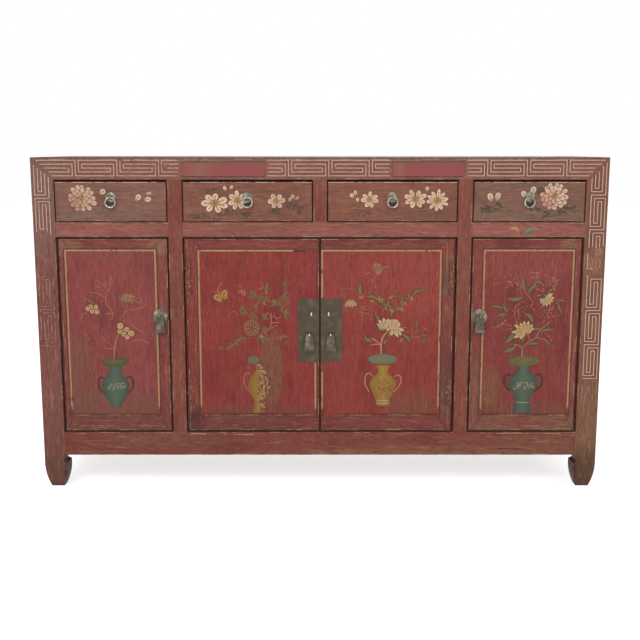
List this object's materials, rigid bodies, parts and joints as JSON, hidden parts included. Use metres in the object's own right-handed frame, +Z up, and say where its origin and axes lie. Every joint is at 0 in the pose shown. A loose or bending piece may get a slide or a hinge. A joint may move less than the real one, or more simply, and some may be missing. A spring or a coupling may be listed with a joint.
{
  "type": "painted sideboard cabinet",
  "caption": "Low painted wooden sideboard on hoofed feet, with drawers above pivoting panelled doors, ring pulls, lock plates and hanging pendants.",
  "frame": {"origin": "on the ground, under the middle of the whole object's box, whose depth takes in the padlock staples", "axes": "+X to the right along the front, +Y to the rear, +Z up; the doors and drawers face -Y"},
  "size_m": [1.58, 0.4458, 0.939],
  "materials": {
    "frame_paint": "worn brown-red paint over wood, satin",
    "panel_paint": "deep red paint over wood, satin, rubbed at the edges",
    "drawer_paint": "faded brown paint over wood, satin",
    "top_paint": "brown paint worn grey-brown, satin",
    "bare_wood": "unpainted aged softwood, matt",
    "aged_brass": "olive-brown patina, rubbed lighter at the edges",
    "worn_brass": "pale grey-brass, polished by hands"
  },
  "bodies": {
    "carcass": {"front_left_post": "frame_paint", "front_right_post": "frame_paint", "rear_left_post": "frame_paint", "rear_right_post": "frame_paint", "top_front_rail": "frame_paint", "top_rear_rail": "frame_paint", "top_side_rails": "frame_paint", "top_boards": "top_paint", "top_battens": "bare_wood", "bottom_front_rail": "frame_paint", "bottom_rear_rail": "bare_wood", "bottom_side_rails": "frame_paint", "front_uprights": "frame_paint", "rear_uprights": "bare_wood", "drawer_divider": "frame_paint", "front_mid_rails": "frame_paint", "rear_mid_rails": "bare_wood", "side_mid_rails": "frame_paint", "side_panels": "frame_paint", "back_panels": "bare_wood", "floor_boards": "bare_wood", "floor_bearers": "bare_wood", "drawer_runners": "bare_wood"},
    "drawer_1": {"drawer_1_front": "drawer_paint", "drawer_1_box": "bare_wood", "drawer_1_bottom": "bare_wood", "drawer_1_pull_plate": "aged_brass"},
    "ring_1": {"drawer_1_ring": "worn_brass"},
    "drawer_2": {"drawer_2_front": "drawer_paint", "drawer_2_box": "bare_wood", "drawer_2_bottom": "bare_wood", "drawer_2_pull_plate": "aged_brass"},
    "ring_2": {"drawer_2_ring": "worn_brass"},
    "drawer_3": {"drawer_3_front": "drawer_paint", "drawer_3_box": "bare_wood", "drawer_3_bottom": "bare_wood", "drawer_3_pull_plate": "aged_brass"},
    "ring_3": {"drawer_3_ring": "worn_brass"},
    "drawer_4": {"drawer_4_front": "drawer_paint", "drawer_4_box": "bare_wood", "drawer_4_bottom": "bare_wood", "drawer_4_pull_plate": "aged_brass"},
    "ring_4": {"drawer_4_ring": "worn_brass"},
    "left_door": {"left_door_frame": "frame_paint", "left_door_panel": "panel_paint", "left_door_plate": "aged_brass"},
    "left_pendant": {"left_door_pendant": "aged_brass"},
    "centre_left_door": {"centre_left_door_frame": "frame_paint", "centre_left_door_panel": "panel_paint", "centre_left_door_plate": "aged_brass"},
    "centre_left_pendant": {"centre_left_door_pendant": "aged_brass"},
    "centre_right_door": {"centre_right_door_frame": "frame_paint", "centre_right_door_panel": "panel_paint", "centre_right_door_plate": "aged_brass"},
    "centre_right_pendant": {"centre_right_door_pendant": "aged_brass"},
    "right_door": {"right_door_frame": "frame_paint", "right_door_panel": "panel_paint", "right_door_plate": "aged_brass"},
    "right_pendant": {"right_door_pendant": "aged_brass"}
  },
  "joints": [
    {"name": "drawer_1_slide", "type": "slide", "parent": "carcass", "child": "drawer_1", "axis": [0, -1, 0], "range_m": [0, 0.3]},
    {"name": "ring_1_swing", "type": "hinge", "parent": "drawer_1", "child": "ring_1", "pos_m": [-0.574, -0.2156, 0.8305], "axis": [-1, 0, 0], "range_deg": [-10, 165]},
    {"name": "drawer_2_slide", "type": "slide", "parent": "carcass", "child": "drawer_2", "axis": [0, -1, 0], "range_m": [0, 0.3]},
    {"name": "ring_2_swing", "type": "hinge", "parent": "drawer_2", "child": "ring_2", "pos_m": [-0.199, -0.2156, 0.8305], "axis": [-1, 0, 0], "range_deg": [-10, 165]},
    {"name": "drawer_3_slide", "type": "slide", "parent": "carcass", "child": "drawer_3", "axis": [0, -1, 0], "range_m": [0, 0.3]},
    {"name": "ring_3_swing", "type": "hinge", "parent": "drawer_3", "child": "ring_3", "pos_m": [0.199, -0.2156, 0.8305], "axis": [-1, 0, 0], "range_deg": [-10, 165]},
    {"name": "drawer_4_slide", "type": "slide", "parent": "carcass", "child": "drawer_4", "axis": [0, -1, 0], "range_m": [0, 0.3]},
    {"name": "ring_4_swing", "type": "hinge", "parent": "drawer_4", "child": "ring_4", "pos_m": [0.574, -0.2156, 0.8305], "axis": [-1, 0, 0], "range_deg": [-10, 165]},
    {"name": "left_door_pivot", "type": "hinge", "parent": "carcass", "child": "left_door", "pos_m": [-0.713, -0.1971, 0.4435], "axis": [0, 0, -1], "range_deg": [0, 105]},
    {"name": "left_pendant_swing", "type": "hinge", "parent": "left_door", "child": "left_pendant", "pos_m": [-0.447, -0.2156, 0.4995], "axis": [-1, 0, 0], "range_deg": [-6, 165]},
    {"name": "centre_left_door_pivot", "type": "hinge", "parent": "carcass", "child": "centre_left_door", "pos_m": [-0.363, -0.1971, 0.4435], "axis": [0, 0, -1], "range_deg": [0, 105]},
    {"name": "centre_left_pendant_swing", "type": "hinge", "parent": "centre_left_door", "child": "centre_left_pendant", "pos_m": [-0.03, -0.2156, 0.448], "axis": [-1, 0, 0], "range_deg": [-6, 165]},
    {"name": "centre_right_door_pivot", "type": "hinge", "parent": "carcass", "child": "centre_right_door", "pos_m": [0.363, -0.1971, 0.4435], "axis": [0, 0, 1], "range_deg": [0, 105]},
    {"name": "centre_right_pendant_swing", "type": "hinge", "parent": "centre_right_door", "child": "centre_right_pendant", "pos_m": [0.03, -0.2156, 0.448], "axis": [-1, 0, 0], "range_deg": [-6, 165]},
    {"name": "right_door_pivot", "type": "hinge", "parent": "carcass", "child": "right_door", "pos_m": [0.713, -0.1971, 0.4435], "axis": [0, 0, 1], "range_deg": [0, 105]},
    {"name": "right_pendant_swing", "type": "hinge", "parent": "right_door", "child": "right_pendant", "pos_m": [0.447, -0.2156, 0.4995], "axis": [-1, 0, 0], "range_deg": [-6, 165]}
  ]
}
